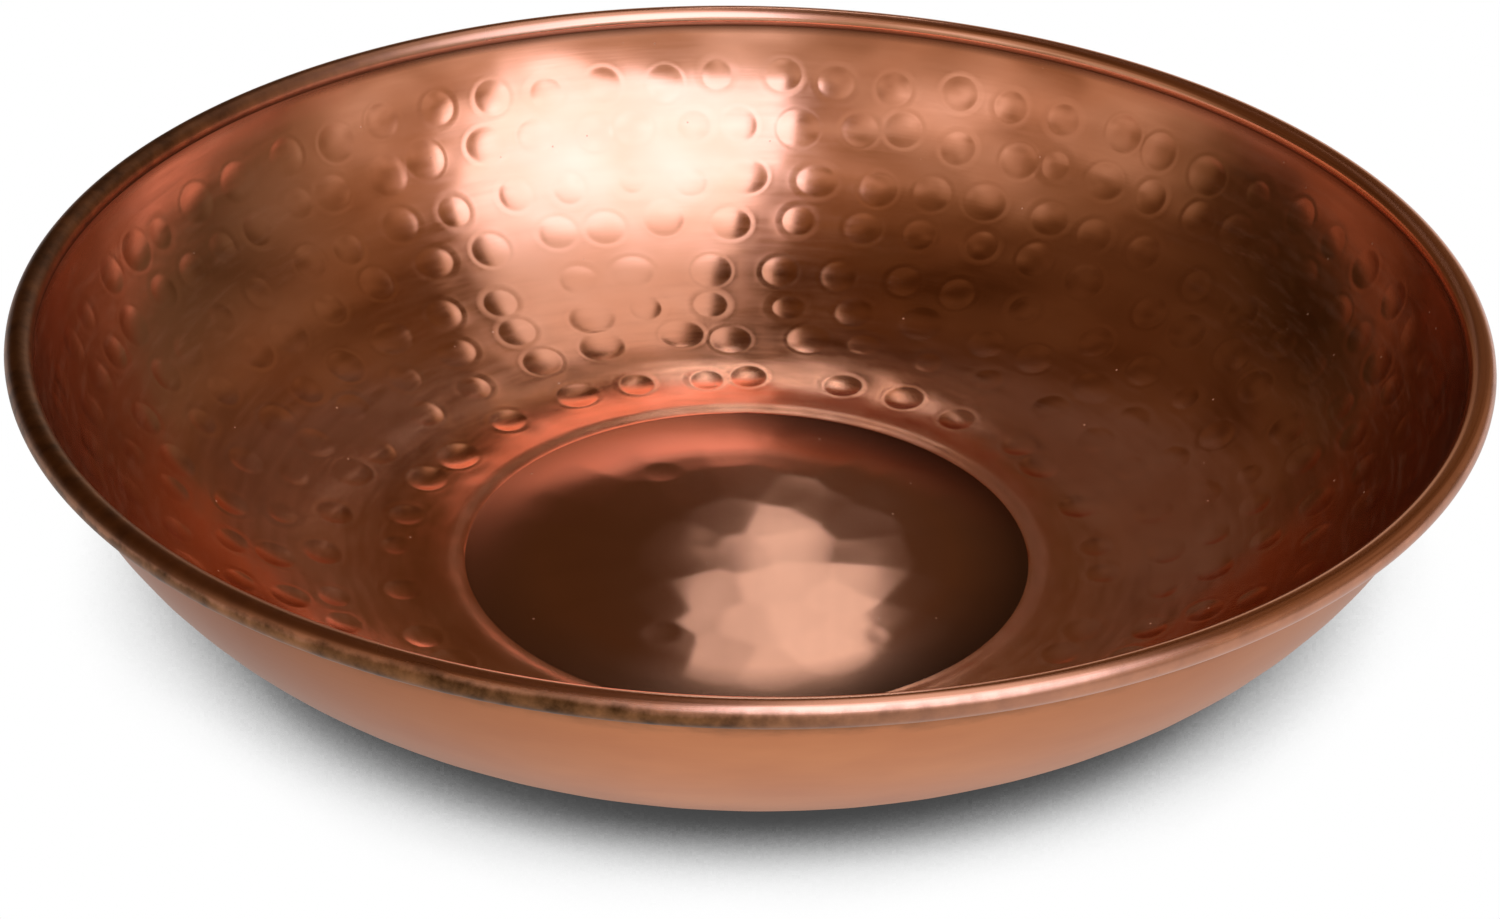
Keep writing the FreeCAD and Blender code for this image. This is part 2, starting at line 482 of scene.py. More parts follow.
def new_material(name):
    """An empty material and its node tree."""
    material = bpy.data.materials.new(name)
    material.use_nodes = True
    material.node_tree.nodes.clear()
    return material, material.node_tree


# %% [markdown]
# One print of the hammer is the same sum wherever it lands, so it is a node
# group. From a corner's stored offset it gives the crisp dish and the soft
# dent that the mesh already has, both in millimetres.

# %% The print of one blow
soft_edge = 0.45  # how much of a dish's depth goes into rounding its edge
blend = 0.03  # mm by which neighbouring dishes melt into one another
lip = 0.25  # copper pushed up round a dish, as a share of the soft dent
print_group = bpy.data.node_groups.new("hammer_print", "ShaderNodeTree")
print_group.interface.new_socket("Offset", in_out="INPUT", socket_type="NodeSocketVector")
print_group.interface.new_socket("Dish", in_out="OUTPUT", socket_type="NodeSocketFloat")
print_group.interface.new_socket("Soft", in_out="OUTPUT", socket_type="NodeSocketFloat")
offset = print_group.nodes.new("NodeGroupInput").outputs["Offset"]
depth = add_node(print_group, "SeparateXYZ", {0: offset}).outputs["Z"]
flat = add_node(
    print_group, "VectorMath", {0: offset, 1: (1, 1, 0)}, operation="MULTIPLY"
).outputs[0]
far = add_node(
    print_group, "VectorMath", {0: flat, 1: flat}, operation="DOT_PRODUCT"
).outputs["Value"]
dish = add_node(
    print_group,
    "Math",
    {0: far, 1: -0.5 / hammer_radius, 2: depth},
    operation="MULTIPLY_ADD",
)
edge = add_node(
    print_group, "Math", {0: depth, 1: soft_edge}, operation="MULTIPLY"
).outputs[0]
dish = add_node(
    print_group, "Math", {0: dish.outputs[0], 1: 0.0, 2: edge}, operation="SMOOTH_MAX"
)
hill = add_node(
    print_group, "Math", {0: far, 1: -1 / soft_reach**2, 2: 1.0}, operation="MULTIPLY_ADD"
)
hill = add_node(print_group, "Math", {0: hill.outputs[0], 1: 0.0}, operation="MAXIMUM")
hill = add_node(print_group, "Math", {0: hill.outputs[0], 1: 2.0}, operation="POWER")
hill = add_node(print_group, "Math", {0: hill.outputs[0], 1: depth}, operation="MULTIPLY")
hill = add_node(
    print_group, "Math", {0: hill.outputs[0], 1: soft_share}, operation="MULTIPLY"
)
result = print_group.nodes.new("NodeGroupOutput")
print_group.links.new(dish.outputs[0], result.inputs["Dish"])
print_group.links.new(hill.outputs[0], result.inputs["Soft"])


def hammer_relief(tree, dish_share, soft_part):
    """The height in millimetres that the three nearest blows add to the mesh."""
    deep, soft = None, None
    for k in range(3):
        offset = add_node(
            tree, "Attribute", attribute_name=f"blow_{k + 1}"
        ).outputs["Vector"]
        mark = tree.nodes.new("ShaderNodeGroup")
        mark.node_tree = print_group
        tree.links.new(offset, mark.inputs["Offset"])
        if deep is None:
            deep, soft = mark.outputs["Dish"], mark.outputs["Soft"]
        else:
            deep = add_node(
                tree,
                "Math",
                {0: deep, 1: mark.outputs["Dish"], 2: blend},
                operation="SMOOTH_MAX",
            ).outputs[0]
            soft = add_node(
                tree, "Math", {0: soft, 1: mark.outputs["Soft"]}, operation="ADD"
            ).outputs[0]
    sunk = add_node(
        tree, "Math", {0: deep, 1: -dish_share}, operation="MULTIPLY"
    ).outputs[0]
    return add_node(
        tree, "Math", {0: soft, 1: soft_part, 2: sunk}, operation="MULTIPLY_ADD"
    ).outputs[0]


# %% [markdown]
# The wall was turned on a lathe before it was hammered, so fine lines run round
# it. Their noise is read on a ring: the way round the axis changes it slowly
# and the way along the sheet changes it fast, and there is no seam.

# %% Lines that run round the bowl


def turned_lines(tree, fine, slow, detail=3.0):
    """Noise that changes every 1/fine mm along the sheet and slowly round it."""
    place = add_node(tree, "TexCoord").outputs["Object"]
    level = add_node(
        tree, "VectorMath", {0: place, 1: (1, 1, 0)}, operation="MULTIPLY"
    ).outputs[0]
    way = add_node(tree, "VectorMath", {0: level}, operation="NORMALIZE").outputs[0]
    slowly = add_node(tree, "VectorMath", {0: way, 3: slow}, operation="SCALE").outputs[0]
    along = add_node(tree, "Attribute", attribute_name="along").outputs["Fac"]
    fast = add_node(tree, "Math", {0: along, 1: fine}, operation="MULTIPLY").outputs[0]
    rise = add_node(tree, "CombineXYZ", {"Z": fast}).outputs[0]
    spot = add_node(tree, "VectorMath", {0: slowly, 1: rise}, operation="ADD").outputs[0]
    return add_node(
        tree, "TexNoise", {"Vector": spot, "Scale": 1.0, "Detail": detail, "Roughness": 0.6}
    ).outputs["Fac"]


# %% [markdown]
# All the coppers share one make-up: a metal whose tint is copper's own, a
# roughness from the way it was rubbed, and a relief in millimetres. Tarnish
# and dust aren't metal, so where they lie the metal share falls, and the colour
# then scatters light softly and no longer mirrors the room.

# %% Copper
copper_tone = srgb("#F0AA8D")
red_tone = srgb("#E79A78")


def worked_copper(tree, relief, tone, roughness, metal=1.0):
    """Copper with a relief in millimetres; a metal share under 1 is dust or tarnish."""
    bump = add_node(
        tree, "Bump", {"Strength": 1.0, "Distance": MM, "Height": relief}
    ).outputs[0]
    shader = add_node(
        tree,
        "BsdfPrincipled",
        {"Base Color": tone, "Metallic": metal, "Roughness": roughness, "Normal": bump},
    )
    add_node(tree, "OutputMaterial", {"Surface": shader.outputs[0]})


# %% [markdown]
# A few specks of dust lie on the sheet, each under a millimetre across.
# Space is cut into cells of about 5 mm, and one cell in seven holds a speck.

# %% Dust


def dust_specks(tree, place):
    """Where dust lies: 1 in the middle of a speck, 0 between the specks."""
    cells = add_node(tree, "TexVoronoi", {"Vector": place, "Scale": 190.0})
    small = add_node(
        tree,
        "MapRange",
        {"Value": cells.outputs["Distance"], "From Min": 0.075, "From Max": 0.045},
    ).outputs[0]
    drawn_lot = add_node(tree, "SeparateColor", {0: cells.outputs["Color"]}).outputs[0]
    holds_one = add_node(
        tree, "Math", {0: drawn_lot, 1: 0.86}, operation="GREATER_THAN"
    ).outputs[0]
    return add_node(tree, "Math", {0: small, 1: holds_one}, operation="MULTIPLY").outputs[0]


# %% [markdown]
# The wall: the eight rows of marks, the slow unevenness that a hammered sheet
# has between its marks, long ripples from the lathe, and its finest lines. The
# copper turns a little redder in wide clouds. On the left and the right it is
# duller and browner near the rim, and water has dried there in fine streaks.

# %% The relief of the wall
wall_copper, tree = new_material("hammered_spun_copper")
place = add_node(tree, "TexCoord").outputs["Object"]
relief = hammer_relief(tree, 1.0, 1.0 + lip)
swell = add_node(
    tree, "TexNoise", {"Vector": place, "Scale": 42.0, "Detail": 1.0}
).outputs["Fac"]
ripples = turned_lines(tree, 0.08, 6.0, 1.0)
fine_lines = turned_lines(tree, 1.6, 9.0)
for pattern, depth in ((swell, 0.30), (ripples, 0.13), (fine_lines, 0.006)):  # in mm
    relief = add_node(
        tree, "Math", {0: pattern, 1: depth, 2: relief}, operation="MULTIPLY_ADD"
    ).outputs[0]

# %% The tone and gloss of the wall
clouds = add_node(
    tree,
    "MapRange",
    {"Value": turned_lines(tree, 0.02, 2.5), "From Min": 0.35, "From Max": 0.65},
).outputs[0]
tone = add_node(
    tree, "Mix", {0: clouds, 6: copper_tone, 7: red_tone}, data_type="RGBA"
).outputs[2]
rubbed = turned_lines(tree, 0.35, 7.0)
rough = add_node(
    tree,
    "MapRange",
    {"Value": rubbed, "From Min": 0.3, "From Max": 0.7, "To Min": 0.12, "To Max": 0.19},
).outputs[0]
height = add_node(tree, "Attribute", attribute_name="along").outputs["Fac"]
by_step = add_node(
    tree,
    "MapRange",
    {"Value": height, "From Min": 5.0, "From Max": -1.0, "To Min": 0.0, "To Max": 0.06},
).outputs[0]
rough = add_node(tree, "Math", {0: rough, 1: by_step}, operation="ADD").outputs[0]

# %% The duller left and right of the wall
high_up = add_node(
    tree,
    "MapRange",
    {"Value": height, "From Min": 62.0, "From Max": 104.0},
    interpolation_type="SMOOTHSTEP",
)
sideways = add_node(tree, "SeparateXYZ", {0: place}).outputs["X"]
sideways = add_node(tree, "Math", {0: sideways}, operation="ABSOLUTE").outputs[0]
sideways = add_node(
    tree,
    "MapRange",
    {"Value": sideways, "From Min": 0.115, "From Max": 0.165},
    interpolation_type="SMOOTHSTEP",
)
dull = add_node(
    tree, "Math", {0: high_up.outputs[0], 1: sideways.outputs[0]}, operation="MULTIPLY"
).outputs[0]
tone = add_node(
    tree, "Mix", {0: dull, 6: tone, 7: srgb("#A87A62")}, data_type="RGBA"
).outputs[2]
rough = add_node(
    tree, "Math", {0: dull, 1: 0.06, 2: rough}, operation="MULTIPLY_ADD"
).outputs[0]

# %% Painted shade by the crease, dried water and dust
# painted shade: the wall darkens to brown and dulls just below the crease
painted_crease_shade = add_node(
    tree,
    "MapRange",
    {
        "Value": height,
        "From Min": bend_starts["crease"] - 2.5,
        "From Max": bend_starts["crease"],
    },
).outputs[0]
tone = add_node(
    tree, "Mix", {0: painted_crease_shade, 6: tone, 7: srgb("#8A5E48")}, data_type="RGBA"
).outputs[2]
rough = add_node(
    tree, "Math", {0: painted_crease_shade, 1: 0.12, 2: rough}, operation="MULTIPLY_ADD"
).outputs[0]
streaks = add_node(
    tree,
    "MapRange",
    {"Value": turned_lines(tree, 0.35, 12.0, 5.0), "From Min": 0.50, "From Max": 0.70},
).outputs[0]
film = add_node(tree, "Math", {0: dull, 1: streaks}, operation="MULTIPLY").outputs[0]
dust = dust_specks(tree, place)
dusty = add_node(tree, "Math", {0: film, 1: 0.07}, operation="MULTIPLY").outputs[0]
dusty = add_node(
    tree, "Math", {0: dust, 1: 0.6, 2: dusty}, operation="MULTIPLY_ADD"
).outputs[0]
metal = add_node(
    tree, "Math", {0: 1.0, 1: dusty}, operation="SUBTRACT", use_clamp=True
).outputs[0]
worked_copper(tree, relief, tone, rough, metal)
print(wall_copper.name, "has", len(tree.nodes), "nodes")

# %% [markdown]
# The floor of the well: a nearly flat hammer left facets, and a brush drawn
# from side to side left lines finer than a hair, drawn here about a millimetre
# apart so that they show. It is glossiest in its middle. Towards the step the
# copper gets duller and browner, most of all on the right, and the floor falls
# away there by half a millimetre.

# %% The relief of the floor
fall_start = 32.0  # mm inside the well line, where the floor begins to fall
fall_rate = 0.0010  # mm of fall for each square mm farther out
floor_copper, tree = new_material("hammered_brushed_copper")
relief = hammer_relief(tree, 1 - floor_share, 0.0)
place = add_node(tree, "TexCoord").outputs["Object"]
strokes = add_node(
    tree, "VectorMath", {0: place, 1: (90, 1100, 0)}, operation="MULTIPLY"
).outputs[0]
lines = add_node(
    tree, "TexNoise", {"Vector": strokes, "Scale": 1.0, "Detail": 2.0}
).outputs["Fac"]
swell = add_node(
    tree, "TexNoise", {"Vector": place, "Scale": 45.0, "Detail": 0.0}
).outputs["Fac"]
along_sheet = add_node(tree, "Attribute", attribute_name="along").outputs["Fac"]
outwards = add_node(
    tree, "Math", {0: along_sheet, 1: fall_start}, operation="ADD"
).outputs[0]
outwards = add_node(tree, "Math", {0: outwards, 1: 0.0}, operation="MAXIMUM").outputs[0]
fall = add_node(tree, "Math", {0: outwards, 1: outwards}, operation="MULTIPLY").outputs[0]
for pattern, depth in ((lines, 0.002), (swell, 0.13), (fall, -fall_rate)):
    relief = add_node(
        tree, "Math", {0: pattern, 1: depth, 2: relief}, operation="MULTIPLY_ADD"
    ).outputs[0]

# %% The tone and gloss of the floor
edge = add_node(
    tree, "MapRange", {"Value": outwards, "From Min": 5.0, "From Max": 24.0}
).outputs[0]
to_right = add_node(tree, "SeparateXYZ", {0: place}).outputs["X"]
to_right = add_node(
    tree, "MapRange", {"Value": to_right, "From Min": -0.03, "From Max": 0.04}
).outputs[0]
edge_tone = add_node(
    tree, "Mix", {0: to_right, 6: srgb("#A5765F"), 7: srgb("#74503E")}, data_type="RGBA"
).outputs[2]
tone = add_node(
    tree, "Mix", {0: edge, 6: srgb("#C78C73"), 7: edge_tone}, data_type="RGBA"
).outputs[2]
rough = add_node(
    tree, "Math", {0: edge, 1: 0.13, 2: 0.10}, operation="MULTIPLY_ADD"
).outputs[0]
dust = dust_specks(tree, place)
metal = add_node(
    tree, "Math", {0: dust, 1: -0.6, 2: 1.0}, operation="MULTIPLY_ADD"
).outputs[0]
worked_copper(tree, relief, tone, rough, metal)
print(floor_copper.name, "has", len(tree.nodes), "nodes")

# %% [markdown]
# The rim is handled and wiped, but a cloth slides over its top and misses its
# outer side. There the copper has gone brown, in soft mottles and in streaks
# that run round with the bead, and more on the left than on the right. Its
# inner side is rubbed to a paler tone, and the crease under it is darkened
# with painted shade.

# %% The brown of the rim
rim_copper, tree = new_material("handled_rim_copper")
place = add_node(tree, "TexCoord").outputs["Object"]
along_sheet = add_node(tree, "Attribute", attribute_name="along").outputs["Fac"]
mottle = add_node(
    tree, "TexNoise", {"Vector": place, "Scale": 150.0, "Detail": 4.0, "Roughness": 0.6}
).outputs["Fac"]
patches = add_node(
    tree, "TexNoise", {"Vector": place, "Scale": 18.0, "Detail": 2.0}
).outputs["Fac"]
drawn = turned_lines(tree, 1.0, 6.0, 2.0)
roll_face = roll_radius + sheet
outer_direction, inner_direction = 28, 165  # of the two sides, as seen from the wire
outer = bend_starts["roll"] + math.radians(crease_direction - outer_direction) * roll_face
inner_side = bend_starts["roll"] + math.radians(
    crease_direction - inner_direction
) * roll_face
wander = along_sheet
for pattern, shift in ((mottle, -3.0), (patches, -5.0)):
    wander = add_node(
        tree, "Math", {0: pattern, 1: shift, 2: wander}, operation="MULTIPLY_ADD"
    ).outputs[0]
brown = add_node(
    tree,
    "MapRange",
    {"Value": wander, "From Min": outer - 6.2, "From Max": outer - 2.6},
    interpolation_type="SMOOTHSTEP",
).outputs[0]
to_left = add_node(tree, "SeparateXYZ", {0: place}).outputs["X"]
cleaner = add_node(
    tree,
    "MapRange",
    {"Value": to_left, "From Min": -0.01, "From Max": 0.07, "To Min": 1.0, "To Max": 0.45},
).outputs[0]
brown = add_node(tree, "Math", {0: brown, 1: cleaner}, operation="MULTIPLY").outputs[0]
to_left = add_node(
    tree,
    "MapRange",
    {"Value": to_left, "From Min": -0.04, "From Max": -0.17, "To Min": 0.0, "To Max": 0.9},
).outputs[0]
brown = add_node(tree, "Math", {0: brown, 1: to_left}, operation="MAXIMUM").outputs[0]

# %% The relief, tone and gloss of the rim
relief = add_node(tree, "Math", {0: drawn, 1: 0.03}, operation="MULTIPLY").outputs[0]
relief = add_node(
    tree, "Math", {0: mottle, 1: 0.02, 2: relief}, operation="MULTIPLY_ADD"
).outputs[0]
spots = add_node(
    tree, "MapRange", {"Value": mottle, "From Min": 0.30, "From Max": 0.68}
).outputs[0]
worn_brown = add_node(
    tree, "Mix", {0: spots, 6: srgb("#50331C"), 7: srgb("#976642")}, data_type="RGBA"
).outputs[2]
inner = add_node(
    tree,
    "MapRange",
    {"Value": along_sheet, "From Min": inner_side + 1.0, "From Max": inner_side - 0.6},
).outputs[0]
tone = add_node(
    tree, "Mix", {0: inner, 6: copper_tone, 7: srgb("#F2C3A8")}, data_type="RGBA"
).outputs[2]
tone = add_node(
    tree, "Mix", {0: brown, 6: tone, 7: worn_brown}, data_type="RGBA"
).outputs[2]
rough = add_node(
    tree, "Math", {0: brown, 1: 0.24, 2: 0.20}, operation="MULTIPLY_ADD"
).outputs[0]
# painted shade: where the roll leaves the crease it is darkened to brown and dulled
painted_shade_in_crease = add_node(
    tree,
    "MapRange",
    {
        "Value": along_sheet,
        "From Min": bend_starts["roll"] + 1.0,
        "From Max": bend_starts["roll"] - 0.5,
    },
).outputs[0]
tone = add_node(
    tree, "Mix", {0: painted_shade_in_crease, 6: tone, 7: srgb("#6B4632")}, data_type="RGBA"
).outputs[2]
rough = add_node(
    tree, "Math", {0: painted_shade_in_crease, 1: 0.25, 2: rough}, operation="MULTIPLY_ADD"
).outputs[0]
worked_copper(tree, relief, tone, rough)
print(rim_copper.name, "has", len(tree.nodes), "nodes")

# %% [markdown]
# Nobody polishes the outside. It keeps the lines of the lathe under a thin
# dull skin that scatters light, so it looks even and warm. Its tone carries
# painted shade: a painted shadow under the rim, and darker sides, most on the
# left and a little on the right.

# %% The outside
outside_copper, tree = new_material("tarnished_spun_copper")
along_sheet = add_node(tree, "Attribute", attribute_name="along").outputs["Fac"]
clouds = add_node(
    tree,
    "MapRange",
    {"Value": turned_lines(tree, 0.05, 4.0), "From Min": 0.3, "From Max": 0.7},
).outputs[0]
tone = add_node(
    tree, "Mix", {0: clouds, 6: srgb("#D88C5C"), 7: srgb("#CC8054")}, data_type="RGBA"
).outputs[2]
uneven = add_node(
    tree,
    "Math",
    {0: turned_lines(tree, 0.3, 20.0), 1: 6.0, 2: along_sheet},
    operation="MULTIPLY_ADD",
).outputs[0]
# painted shadow under the rim: the outside darkens to brown there
under = add_node(
    tree,
    "MapRange",
    {"Value": uneven, "From Min": 134.0, "From Max": 142.0, "To Min": 0.0, "To Max": 0.8},
    interpolation_type="SMOOTHSTEP",
).outputs[0]
tone = add_node(
    tree, "Mix", {0: under, 6: tone, 7: srgb("#6E4A2C")}, data_type="RGBA"
).outputs[2]
place = add_node(tree, "TexCoord").outputs["Object"]
sideways = add_node(tree, "SeparateXYZ", {0: place}).outputs["X"]
# painted shade: the outside is darker on its left and a little on its right
right = add_node(
    tree,
    "MapRange",
    {"Value": sideways, "From Min": 0.04, "From Max": 0.16, "To Min": 0.0, "To Max": 0.55},
).outputs[0]
left = add_node(
    tree,
    "MapRange",
    {"Value": sideways, "From Min": -0.02, "From Max": -0.12, "To Min": 0.0, "To Max": 0.9},
).outputs[0]
painted_side_shade = add_node(tree, "Math", {0: right, 1: left}, operation="MAXIMUM").outputs[0]
tone = add_node(
    tree, "Mix", {0: painted_side_shade, 6: tone, 7: srgb("#8E5026")}, data_type="RGBA"
).outputs[2]
relief = add_node(
    tree, "Math", {0: turned_lines(tree, 1.2, 3.0), 1: 0.02}, operation="MULTIPLY"
).outputs[0]
skin_roughness, skin_metal = 0.40, 0.72
worked_copper(tree, relief, tone, skin_roughness, skin_metal)
print(outside_copper.name, "has", len(tree.nodes), "nodes")

# %% Give each face its finish
for material in (wall_copper, floor_copper, rim_copper, outside_copper):
    mesh.materials.append(material)
on_wall_face, on_floor_face, on_rim_face, on_outside = range(4)  # in that order
face_along = np.zeros(faces)
np.add.at(face_along, corner_face, along[corner_vertex])
face_along /= corners_per_face
face_front = np.zeros(faces)
np.add.at(face_front, corner_face, on_face[corner_vertex].astype(float))
face_front = face_front / corners_per_face > 0.5
finish = np.where(face_along < bend_starts["crease"], on_wall_face, on_rim_face)
finish = np.where(face_along < -step_length, on_floor_face, finish)
finish = np.where(face_front, finish, on_outside)
mesh.polygons.foreach_set("material_index", finish.astype(np.int32))
mesh.update()
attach(bowl, "root")
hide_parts("bowl_shell")
print("faces of each finish:", np.bincount(finish).tolist())

# %% [markdown]
# ## The wire in the roll
# The wire is cold drawn through a die, which leaves steel evenly grey with a
# dull shine. It lies sealed in the roll, so it needs no more than that.

# %% Steel wire
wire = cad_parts["rim_wire"]
steel, tree = new_material("drawn_steel_wire")
shader = add_node(
    tree,
    "BsdfPrincipled",
    {"Base Color": srgb("#AFADAA"), "Metallic": 1.0, "Roughness": 0.35},
)
add_node(tree, "OutputMaterial", {"Surface": shader.outputs[0]})
wire.data.materials.clear()
wire.data.materials.append(steel)
print(wire.name, "is of", steel.name)

# %% [markdown]
# ## The table and the light
# The bowl stands on a plain white table top. A white tent over it gives matt
# surfaces an even light, a little stronger from the right. To the camera and in
# the copper the table is plain white, and in the copper it grows dimmer far
# from the bowl. Its shadow is painted into that white: its depth is how much of
# the tent the bowl hides from it, which Ambient Occlusion measures. The light is
# to come a little from the front, so the shadow is measured about a line that
# leans there. In the copper the painted shadow is lighter than to the camera.

# %% The white table top
table_radius, middle_radius = 5.0, 1.0  # metres
clearance = 0.02 * MM  # under the resting face
bpy.ops.object.select_all(action="DESELECT")
bpy.ops.mesh.primitive_circle_add(
    vertices=96, radius=table_radius, fill_type="NGON", location=(0, 0, -clearance)
)
table_top = bpy.context.object
table_top.name = "table_top"
bpy.ops.object.mode_set(mode="EDIT")
bpy.ops.mesh.select_all(action="SELECT")
bpy.ops.mesh.inset(thickness=table_radius - middle_radius, depth=0)
bpy.ops.mesh.poke()
bpy.ops.object.mode_set(mode="OBJECT")
bpy.ops.object.transform_apply(location=True, rotation=True, scale=True)
print(table_top.name, "is", 2 * table_radius, "m across")

# %% What sees the table as plain white
white_top, tree = new_material("matt_white_top")
path = add_node(tree, "LightPath")
seen = to_camera = path.outputs["Is Camera Ray"]
for ray in ("Is Glossy Ray", "Is Transmission Ray"):
    seen = add_node(
        tree, "Math", {0: seen, 1: path.outputs[ray]}, operation="ADD"
    ).outputs[0]

# %% The shadow on the table
shadow_lean = math.radians(25)
lean = add_node(
    tree, "CombineXYZ", {0: 0.0, 1: -math.sin(shadow_lean), 2: math.cos(shadow_lean)}
).outputs[0]
open_sky = add_node(
    tree, "AmbientOcclusion", {"Distance": 0.4, "Normal": lean}, samples=32
).outputs["AO"]
# painted shadow: 0.06 at its deepest to the camera, 0.25 in the copper
deepest_shade, full_light, dimmest = [
    add_node(
        tree, "Math", {0: to_camera, 1: more, 2: in_copper}, operation="MULTIPLY_ADD"
    ).outputs[0]
    for more, in_copper in ((-0.19, 0.25), (0.2, 0.8), (0.5, 0.5))
]
shade = add_node(
    tree,
    "MapRange",
    {
        "Value": open_sky,
        "From Min": 0.31,
        "From Max": 0.55,
        "To Min": deepest_shade,
        "To Max": full_light,
    },
    interpolation_type="SMOOTHSTEP",
).outputs[0]

# %% Dimmer far away, and matt for all other light
place = add_node(tree, "TexCoord").outputs["Object"]
away = add_node(tree, "VectorMath", {0: place}, operation="LENGTH").outputs["Value"]
dimmer = add_node(
    tree,
    "MapRange",
    {"Value": away, "From Min": 0.55, "From Max": 1.6, "To Min": 1.0, "To Max": dimmest},
    interpolation_type="SMOOTHSTEP",
).outputs[0]
shade = add_node(tree, "Math", {0: shade, 1: dimmer}, operation="MULTIPLY").outputs[0]
plain = add_node(tree, "Emission", {"Color": (1, 1, 1, 1), "Strength": shade}).outputs[0]
matt = add_node(tree, "BsdfDiffuse", {"Color": srgb("#E8E8E8")}).outputs[0]
cover = add_node(tree, "MixShader", {0: seen, 1: matt, 2: plain}).outputs[0]
add_node(tree, "OutputMaterial", {"Surface": cover})
table_top.data.materials.append(white_top)
print(white_top.name, "has", len(tree.nodes), "nodes")

# %% [markdown]
# The tent is a dome of cloth over the table. Only matt surfaces see it: the
# copper mirrors the room and its window, and a tent would hide both.

# %% The white tent
tent_radius = 7.0  # metres
bpy.ops.object.select_all(action="DESELECT")
bpy.ops.mesh.primitive_uv_sphere_add(segments=24, ring_count=12, radius=tent_radius)
tent = bpy.context.object
tent.name = "white_tent"
bpy.ops.object.mode_set(mode="EDIT")
bpy.ops.mesh.select_all(action="SELECT")
bpy.ops.mesh.bisect(plane_co=(0, 0, -0.1), plane_no=(0, 0, 1), clear_inner=True)
bpy.ops.mesh.select_all(action="SELECT")
bpy.ops.mesh.flip_normals()
bpy.ops.object.mode_set(mode="OBJECT")
tent_cloth, tree = new_material("lit_tent_cloth")
place = add_node(tree, "TexCoord").outputs["Object"]
to_right = add_node(tree, "SeparateXYZ", {0: place}).outputs["X"]
strength = add_node(
    tree,
    "MapRange",
    {
        "Value": to_right,
        "From Min": -tent_radius,
        "From Max": tent_radius,
        "To Min": 0.45,
        "To Max": 1.3,
    },
).outputs[0]
light = add_node(tree, "Emission", {"Color": (1, 1, 1, 1), "Strength": strength})
add_node(tree, "OutputMaterial", {"Surface": light.outputs[0]})
tent.data.materials.append(tent_cloth)
tent.visible_camera = tent.visible_glossy = tent.visible_transmission = False
print(tent.name, "has", len(tent.data.polygons), "faces")

# %% [markdown]
# A small soft lamp stands close behind the bowl. Dark upright slats in front of
# it let its light go straight ahead only, so the floor of the well mirrors it as
# one bright patch and the wall does not. Two cards cover its lower corners.
# Slats and cards glow faintly in the warm colour of the dim room: painted light
# that stands in for the room they hide in the copper.

# %% An upright card


def upright_card(name, wide, tall, place, turned):
    """A thin upright card: turned 0 faces the bowl, 90 stands edge on to it."""
    bpy.ops.object.select_all(action="DESELECT")
    bpy.ops.mesh.primitive_plane_add(size=1.0)
    card = bpy.context.object
    card.name = name
    card.scale = (wide, tall, 1.0)
    card.rotation_euler = (math.radians(90), 0, math.radians(turned))
    card.location = place
    bpy.ops.object.transform_apply(location=True, rotation=True, scale=True)
    card.visible_camera = card.visible_diffuse = card.visible_shadow = False
    return card


# %% The small lamp behind the bowl
lamp_x, lamp_y, lamp_z = 0.017, 0.40, 0.293
lamp_wide, lamp_tall = 0.078, 0.128
slats, slat_gap, slat_deep, slat_tall, slat_turn = 15, 0.0056, 0.057, 0.172, 88.5
slat_drop = 0.022  # the slats reach farther down than the lamp
cover_tall, cover_drop = 0.022, 0.053
small_lamp = upright_card(
    "small_soft_lamp", lamp_wide, lamp_tall, (lamp_x, lamp_y, lamp_z), 0
)
lamp_cloth, tree = new_material("lamp_cloth")
light = add_node(tree, "Emission", {"Color": (0.94, 1, 1, 1), "Strength": 1.75})
add_node(tree, "OutputMaterial", {"Surface": light.outputs[0]})
small_lamp.data.materials.append(lamp_cloth)

# %% Its slats and covers
room_glow_card, tree = new_material("room_glow_card")
# painted light: the cards glow faintly in the dim room's warm colour
light = add_node(tree, "Emission", {"Color": (1, 0.52, 0.2, 1), "Strength": 0.08})
add_node(tree, "OutputMaterial", {"Surface": light.outputs[0]})
for number in range(slats):
    slat_x = lamp_x - lamp_wide / 2 + number * slat_gap
    slat_place = (slat_x, lamp_y - slat_deep / 2 - 0.002, lamp_z - slat_drop)
    slat = upright_card(
        f"lamp_slat_{number + 1}", slat_deep, slat_tall, slat_place, slat_turn
    )
    slat.data.materials.append(room_glow_card)
for side, cover_x, cover_wide in (("left", -0.0118, 0.0205), ("right", 0.0415, 0.029)):
    cover = upright_card(
        f"lamp_cover_{side}",
        cover_wide,
        cover_tall,
        (cover_x, lamp_y - 0.001, lamp_z - cover_drop),
        0,
    )
    cover.data.materials.append(room_glow_card)
print("lamp with", slats, "slats")

# %% [markdown]
# What a polished bowl shows is the room round it, so the room matters as much
# as the copper. It is dim and warm, and brightens low down in front and to the
# right. One big soft window stands high in front, with a sharp left edge and a
# slanted right one, and a strip of its light runs to the back. Dark corners
# keep the dim part from being flat, and the far wall is paler low down. The
# world holds all this: it turns each direction into degrees to the right of
# straight up and to the back of it.

